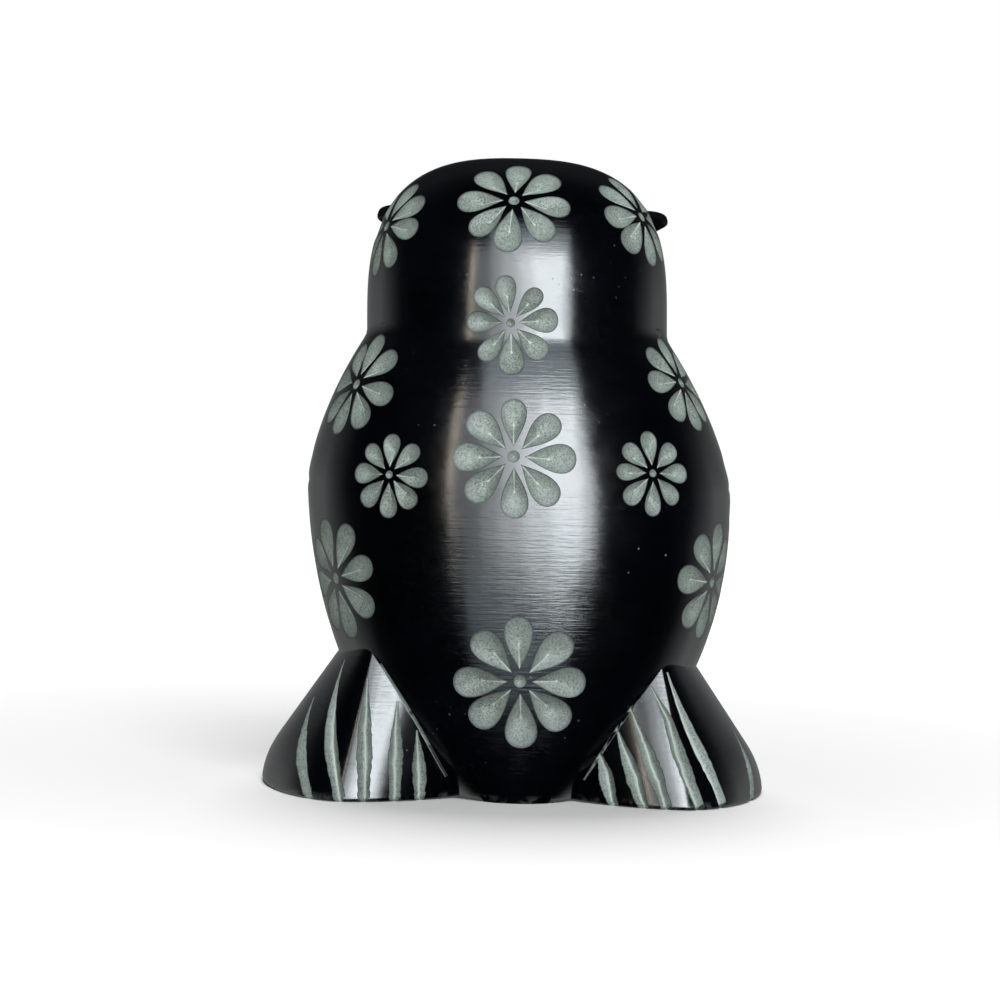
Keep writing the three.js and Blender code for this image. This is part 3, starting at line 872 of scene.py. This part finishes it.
def polished_stone():
    """Near-black waxed stone: level polishing scratches, faint waves, hairlines, dust and worn edges."""
    n = Nodes("polished_black_stone")
    plain = n.stretched((1, 1, 1))
    scratches = n.noise(n.stretched((130, 130, 4600)), 1.0, 3.0, 0.7)
    blotches = n.noise(n.stretched((500, 500, 2200)), 1.0, 3.0, 0.6)
    clouds = n.noise(plain, 90.0, 5.0, 0.6)
    waves = n.noise(plain, 70.0, 1.5, 0.4)
    worn = n.noise(plain, 420.0, 4.0, 0.65)
    speck = n.add("ShaderNodeTexVoronoi", Scale=900.0)
    n.link(plain, speck.inputs["Vector"])
    lone = n.math("MULTIPLY", n.span(speck.outputs["Distance"], 0.14, 0.05), n.span(clouds, 0.55, 0.62))
    patchy = n.span(n.noise(plain, 60.0, 3.0, 0.5), 0.5, 0.62)
    fine = n.math("MAXIMUM", hairlines(n, 24, 8600, 0.68), hairlines(n, -38, 9400, 0.69))
    hair = n.math("MULTIPLY", n.math("MAXIMUM", fine, hairlines(n, 80, 9000, 0.70)), patchy)
    axes = n.add("ShaderNodeSeparateXYZ")
    n.link(plain, axes.inputs["Vector"])
    low_edge = n.math("MULTIPLY", n.span(axes.outputs["Z"], 0.0010, 0.0001), n.span(worn, 0.50, 0.62))
    tone = n.mix(n.span(clouds, 0.35, 0.7), TONES["black"], TONES["blue_black"])
    dusty = n.mix(n.math("MULTIPLY", lone, 0.4), tone, TONES["dust"])
    lined = n.mix(n.math("MULTIPLY", hair, 0.07), dusty, TONES["hairline"])
    edged = n.mix(n.math("MULTIPLY", low_edge, 0.5), lined, TONES["worn_edge"])
    n.link(edged, n.shader.inputs["Base Color"])
    scuffed = n.math("MAXIMUM", n.math("MAXIMUM", lone, n.math("MULTIPLY", hair, 0.3)), low_edge)
    rough = n.math("ADD", n.span(worn, 0.3, 0.75, 0.12, 0.18), n.math("MULTIPLY", scuffed, 0.25))
    n.link(rough, n.shader.inputs["Roughness"])
    n.shader.inputs["IOR"].default_value = 1.48
    first = n.bump(scratches, 0.26, 0.00006)
    second = n.bump(blotches, 0.16, 0.00008, first)
    n.link(n.bump(waves, 0.35, 0.001, second), n.shader.inputs["Normal"])
    return n.material


def rough_stone():
    """Unpolished grey-green stone in the cuts: mottled grain, painted shade on the shallow slopes and a
    darker painted line at the rims, and a painted highlight along the valleys.
    """
    n = Nodes("rough_grey_stone")
    plain = n.stretched((1, 1, 1))
    carving_light_and_shade = n.add("ShaderNodeAttribute", attribute_name="carving_light_and_shade")
    parts = n.add("ShaderNodeSeparateColor")
    n.link(carving_light_and_shade.outputs["Color"], parts.inputs["Color"])
    depth, valley_highlight = parts.outputs["Red"], parts.outputs["Green"]
    grain = n.noise(plain, 5200.0, 3.0, 0.75)
    mottle = n.noise(plain, 900.0, 5.0, 0.7)
    patch = n.noise(plain, 160.0, 3.0, 0.5)
    base = n.mix(n.span(mottle, 0.3, 0.72), TONES["grey"], TONES["pale_grey"])
    speckled = n.mix(n.span(grain, 0.38, 0.56), TONES["grain"], base)
    toned = n.mix(n.span(patch, 0.35, 0.7, 0.0, 0.3), speckled, TONES["patch"])
    # Painted shade: the shallow outer slopes of each cut are darkened, and a near-black line is painted at
    # the rim
    slope_shaded = n.mix(n.span(depth, 0.0, 0.6, 0.5, 0.0), toned, TONES["slope_shade"])
    shaded = n.mix(n.span(depth, 0.02, 0.11, 0.85, 0.0), slope_shaded, TONES["rim"])
    # Painted highlight: a pale line along each cut's valley, brightest at the deepest point
    highlighted = n.mix(n.math("MULTIPLY", n.span(valley_highlight, 0.62, 1.0), 0.7), shaded, TONES["valley_highlight"])
    n.link(highlighted, n.shader.inputs["Base Color"])
    n.shader.inputs["Roughness"].default_value = 0.62
    n.shader.inputs["IOR"].default_value = 1.45
    first = n.bump(grain, 0.35, 0.00008)
    n.link(n.bump(mottle, 0.3, 0.00015, first), n.shader.inputs["Normal"])
    return n.material


# Studio floor and light
FLOOR = {"reach": 6.0, "tone": 0.60, "glow": 0.5, "glow_starts_ends": (0.04, 0.28)}
PANEL_DISTANCE = 0.5
AMBIENT = 0.26
OVERHEAD = {"strength": 2.5, "spread": 30, "tilt": 22}

# The window is made of upright slats: azimuths where each starts and ends, and its brightness
WINDOW = {
    "slats": [
        (-29, -26, 7), (-26, -22, 15), (-22, -8, 23), (-8, -1, 17),
        (-1, 6, 10), (6, 12, 6), (12, 25, 2.8),
    ],
    "rise": 13.8,
    "height": 0.39,
    "colour": (0.90, 0.96, 1.0),
}

# Other panels: azimuth, elevation, width, height, brightness, colour, and whether it shows in the polish
PANELS = {
    "window_sill": (-2, -13, 0.36, 0.09, 2.2, (0.74, 0.90, 1.0), True),
    "warm_strip": (24, 16, 0.008, 0.34, 24.0, (1.0, 0.86, 0.66), True),
    "window_top": (-8, 43, 0.31, 0.12, 5.0, (0.80, 0.92, 1.0), True),
    "front_softbox": (-15, 46, 0.26, 0.20, 13.0, (1.0, 1.0, 1.0), False),
}

# What the polish mirrors: share of the way toward the back, and how bright it is there
MIRROR_GLOW = [(-1.0, 0.2), (-0.77, 0.38), (-0.5, 0.7), (-0.25, 0.4), (0.0, 0.04), (0.3, 0.0)]
MIRROR_TOP = {"from": 0.06, "to": 0.42, "glow": 0.08}

# Camera: a judged distance, and the focal length, place and roll that give the photograph's outline
PHOTO_SIZE = 1000
FOCAL_PIXELS = 2076
CAMERA = Vector((2.29, 250.0, 34.06))
CAMERA_ROLL = math.atan2(12, 472)
SENSOR = 36.0


def add_camera():
    data = bpy.data.cameras.new("camera")
    data.sensor_width = SENSOR
    data.lens = FOCAL_PIXELS / PHOTO_SIZE * SENSOR
    data.clip_start = 0.01
    data.clip_end = 20
    camera = bpy.data.objects.new("camera", data)
    level = Matrix.Rotation(math.pi, 4, "Z") @ Matrix.Rotation(math.pi / 2, 4, "X")
    camera.matrix_world = Matrix.Translation(CAMERA * MM) @ level @ Matrix.Rotation(CAMERA_ROLL, 4, "Z")
    bpy.context.scene.collection.objects.link(camera)
    bpy.context.scene.camera = camera


def panel(name, azimuth, elevation, width, height, glow, colour, mirrored):
    """A soft rectangular light facing the owl; azimuth 0 is behind it and turns toward +X.

    A mirrored panel is only seen in the polish, and any other only lights the rough stone and floor."""
    data = bpy.data.lights.new(name, "AREA")
    data.shape = "RECTANGLE"
    data.size, data.size_y = width, height
    data.energy = glow * math.pi * width * height
    data.color = colour
    light = bpy.data.objects.new(name, data)
    turn, tilt = math.radians(azimuth), math.radians(elevation)
    target = Vector((0, 0, HEIGHT / 2 * MM))
    place = target + PANEL_DISTANCE * Vector((
        math.sin(turn) * math.cos(tilt), math.cos(turn) * math.cos(tilt), math.sin(tilt),
    ))
    light.rotation_euler = (target - place).to_track_quat("-Z", "Y").to_euler()
    light.location = place
    light.visible_diffuse = not mirrored
    light.visible_glossy = mirrored
    bpy.context.scene.collection.objects.link(light)


def add_lights():
    for index, (start, end, glow) in enumerate(WINDOW["slats"]):
        width = math.radians(end - start) * PANEL_DISTANCE
        name = f"window_{index}"
        panel(name, (start + end) / 2, WINDOW["rise"], width, WINDOW["height"], glow, WINDOW["colour"], True)
    for name, settings in PANELS.items():
        panel(name, *settings)
    data = bpy.data.lights.new("overhead", "SUN")
    data.energy = OVERHEAD["strength"]
    data.angle = math.radians(OVERHEAD["spread"])
    light = bpy.data.objects.new("overhead", data)
    light.rotation_euler = (math.radians(OVERHEAD["tilt"]), 0, 0)
    light.visible_glossy = False
    bpy.context.scene.collection.objects.link(light)


def add_world():
    """White behind the owl and evenly dimmer for lighting it; in the polish, bright low on the face side."""
    world = bpy.data.worlds.new("studio")
    bpy.context.scene.world = world
    world.use_nodes = True
    tree = world.node_tree
    background = tree.nodes["Background"]
    place = tree.nodes.new("ShaderNodeTexCoord")
    axes = tree.nodes.new("ShaderNodeSeparateXYZ")
    tree.links.new(place.outputs["Generated"], axes.inputs["Vector"])
    range_node = tree.nodes.new("ShaderNodeMapRange")
    range_node.inputs["From Min"].default_value = -1.0
    range_node.inputs["From Max"].default_value = 1.0
    tree.links.new(axes.outputs["Y"], range_node.inputs["Value"])
    ramp = tree.nodes.new("ShaderNodeValToRGB")
    stops = ramp.color_ramp.elements
    while len(stops) < len(MIRROR_GLOW):
        stops.new(0.5)
    for stop, (toward_back, glow) in zip(stops, MIRROR_GLOW):
        stop.position = (toward_back + 1) / 2
        stop.color = (glow * 0.96, glow, glow, 1)
    tree.links.new(range_node.outputs["Result"], ramp.inputs["Fac"])
    top = tree.nodes.new("ShaderNodeMapRange")
    for name, value in (("From Min", "from"), ("From Max", "to"), ("To Max", "glow")):
        top.inputs[name].default_value = MIRROR_TOP[value]
    top.inputs["To Min"].default_value = 1.0
    tree.links.new(axes.outputs["Z"], top.inputs["Value"])
    mirrored = tree.nodes.new("ShaderNodeVectorMath")
    mirrored.operation = "SCALE"
    tree.links.new(ramp.outputs["Color"], mirrored.inputs[0])
    tree.links.new(top.outputs["Result"], mirrored.inputs["Scale"])
    path = tree.nodes.new("ShaderNodeLightPath")
    choose = tree.nodes.new("ShaderNodeMix")
    choose.data_type = "RGBA"
    tree.links.new(path.outputs["Is Glossy Ray"], choose.inputs[0])
    tree.links.new(mirrored.outputs[0], choose.inputs[7])
    tree.links.new(choose.outputs[2], background.inputs["Color"])
    dim = tree.nodes.new("ShaderNodeMix")
    dim.data_type = "RGBA"
    dim.inputs[6].default_value = (1, 1, 1, 1)
    dim.inputs[7].default_value = (AMBIENT, AMBIENT, AMBIENT, 1)
    tree.links.new(path.outputs["Is Diffuse Ray"], dim.inputs[0])
    tree.links.new(dim.outputs[2], choose.inputs[6])
    background.inputs["Strength"].default_value = 1.0


def add_floor():
    """A pale floor that grows brighter with distance, so that it runs into the white behind it."""
    mesh = bpy.data.meshes.new("floor")
    corners = [(x * FLOOR["reach"], y * FLOOR["reach"], 0) for x, y in ((-1, -1), (1, -1), (1, 1), (-1, 1))]
    mesh.from_pydata(corners, [], [(0, 1, 2, 3)])
    floor = bpy.data.objects.new("floor", mesh)
    bpy.context.scene.collection.objects.link(floor)
    n = Nodes("pale_floor")
    n.shader.inputs["Base Color"].default_value = (*[FLOOR["tone"]] * 3, 1)
    n.shader.inputs["Roughness"].default_value = 1.0
    n.shader.inputs["Specular IOR Level"].default_value = 0.0
    distance = n.add("ShaderNodeVectorMath", operation="LENGTH")
    n.link(n.stretched((1, 1, 1)), distance.inputs[0])
    glow = n.span(distance.outputs["Value"], *FLOOR["glow_starts_ends"], 0.0, FLOOR["glow"])
    n.shader.inputs["Emission Color"].default_value = (1, 1, 1, 1)
    n.link(glow, n.shader.inputs["Emission Strength"])
    mesh.materials.append(n.material)
    floor.visible_glossy = False


def main():
    add_camera()
    add_lights()
    add_world()
    add_floor()
    owl = carve_owl()
    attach(owl, "root")
    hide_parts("owl")
    bpy.context.scene.view_settings.view_transform = "Standard"


main()
